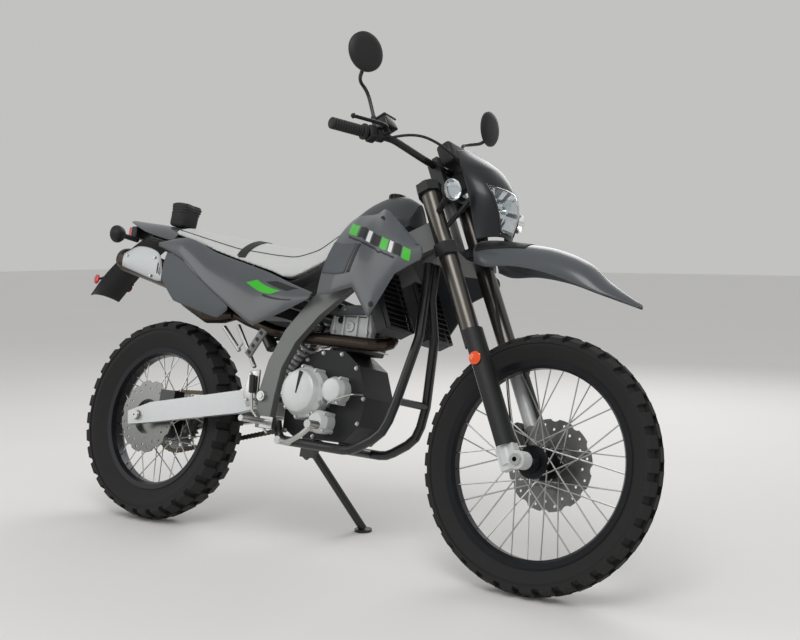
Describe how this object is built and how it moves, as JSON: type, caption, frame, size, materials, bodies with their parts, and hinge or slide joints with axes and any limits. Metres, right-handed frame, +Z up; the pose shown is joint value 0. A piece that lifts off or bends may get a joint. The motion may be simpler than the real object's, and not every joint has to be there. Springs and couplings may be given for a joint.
{
  "type": "dual sport motorcycle",
  "caption": "Tall dual sport motorcycle with spoked wheels and knobbly tyres, leaning on its side stand.",
  "frame": {"origin": "centre of the whole outline on the ground", "axes": "+X forwards, +Y to the machine's left, +Z up; the machine leans to its left on its stand"},
  "size_m": [2.2036, 0.8894, 1.5081],
  "materials": {
    "body_grey": "satin gloss moulded panels",
    "cowl_dark": "dark moulded cowl",
    "tank_dark": "matte tank and pouch",
    "seat_cover": "pale vinyl seat cover",
    "fabric": "woven pouch fabric",
    "black_plastic": "textured black plastic",
    "frame_silver": "satin aluminium",
    "frame_black": "black enamel",
    "engine_metal": "cast aluminium",
    "steel": "brushed steel",
    "chain_steel": "oiled steel",
    "fork_satin": "satin anodised tube",
    "rim_black": "black anodised rim",
    "rubber": "soft black rubber",
    "tyre": "knobbly tyre rubber",
    "lamp": "clear lamp lens",
    "mirror": "mirror glass in a black shell"
  },
  "bodies": {
    "chassis": {"frame_main": "frame_silver", "frame_cradle": "frame_black", "subframe": "frame_black", "swingarm": "frame_silver", "rear_axle": "steel", "rear_shock": "steel", "engine_case": "engine_metal", "engine_covers": "engine_metal", "cylinder": "engine_metal", "exhaust_pipe": "steel", "silencer": "frame_black", "heat_shield": "steel", "radiators": "frame_silver", "airbox": "black_plastic", "fuel_tank": "tank_dark", "shrouds": "body_grey", "seat": "seat_cover", "side_panels": "body_grey", "tail_fender": "body_grey", "mudguard": "black_plastic", "rear_lamps": "lamp", "foot_controls": "steel", "drive_chain": "chain_steel", "rear_caliper": "frame_black", "tail_pouch": "fabric"},
    "steering": {"fork_tubes": "fork_satin", "fork_sliders": "frame_silver", "fork_guards": "black_plastic", "fork_clamps": "frame_black", "front_axle": "steel", "handlebar": "frame_black", "grips": "rubber", "hand_controls": "frame_black", "mirrors": "mirror", "headlight_cowl": "cowl_dark", "headlight": "lamp", "gauge": "black_plastic", "front_signals": "lamp", "front_fender": "body_grey", "front_caliper": "frame_black", "brake_hose": "rubber"},
    "front_wheel": {"front_tyre": "tyre", "front_rim": "rim_black", "front_hub": "frame_black", "front_spokes": "steel", "front_disc": "steel"},
    "rear_wheel": {"rear_tyre": "tyre", "rear_rim": "rim_black", "rear_hub": "frame_black", "rear_spokes": "steel", "rear_disc": "steel", "rear_sprocket": "frame_silver"},
    "side_stand": {"side_stand": "frame_black"}
  },
  "joints": [
    {"name": "steering", "type": "hinge", "parent": "chassis", "child": "steering", "pos_m": [0.86525, -0.27602, 0], "axis": [-0.4493, 0.2111, 0.8681], "range_deg": [-45, 45]},
    {"name": "front_wheel_spin", "type": "hinge", "parent": "steering", "child": "front_wheel", "pos_m": [0.75675, -0.19379, 0.33806], "axis": [0, 0.9717, -0.2363], "continuous": true},
    {"name": "rear_wheel_spin", "type": "hinge", "parent": "chassis", "child": "rear_wheel", "pos_m": [-0.68175, -0.19651, 0.32688], "axis": [0, 0.9717, -0.2363], "continuous": true},
    {"name": "side_stand_fold", "type": "hinge", "parent": "chassis", "child": "side_stand", "pos_m": [-0.11575, -0.08463, 0.2622], "axis": [0.1851, 0.8769, 0.4435], "range_deg": [0, 100]}
  ]
}
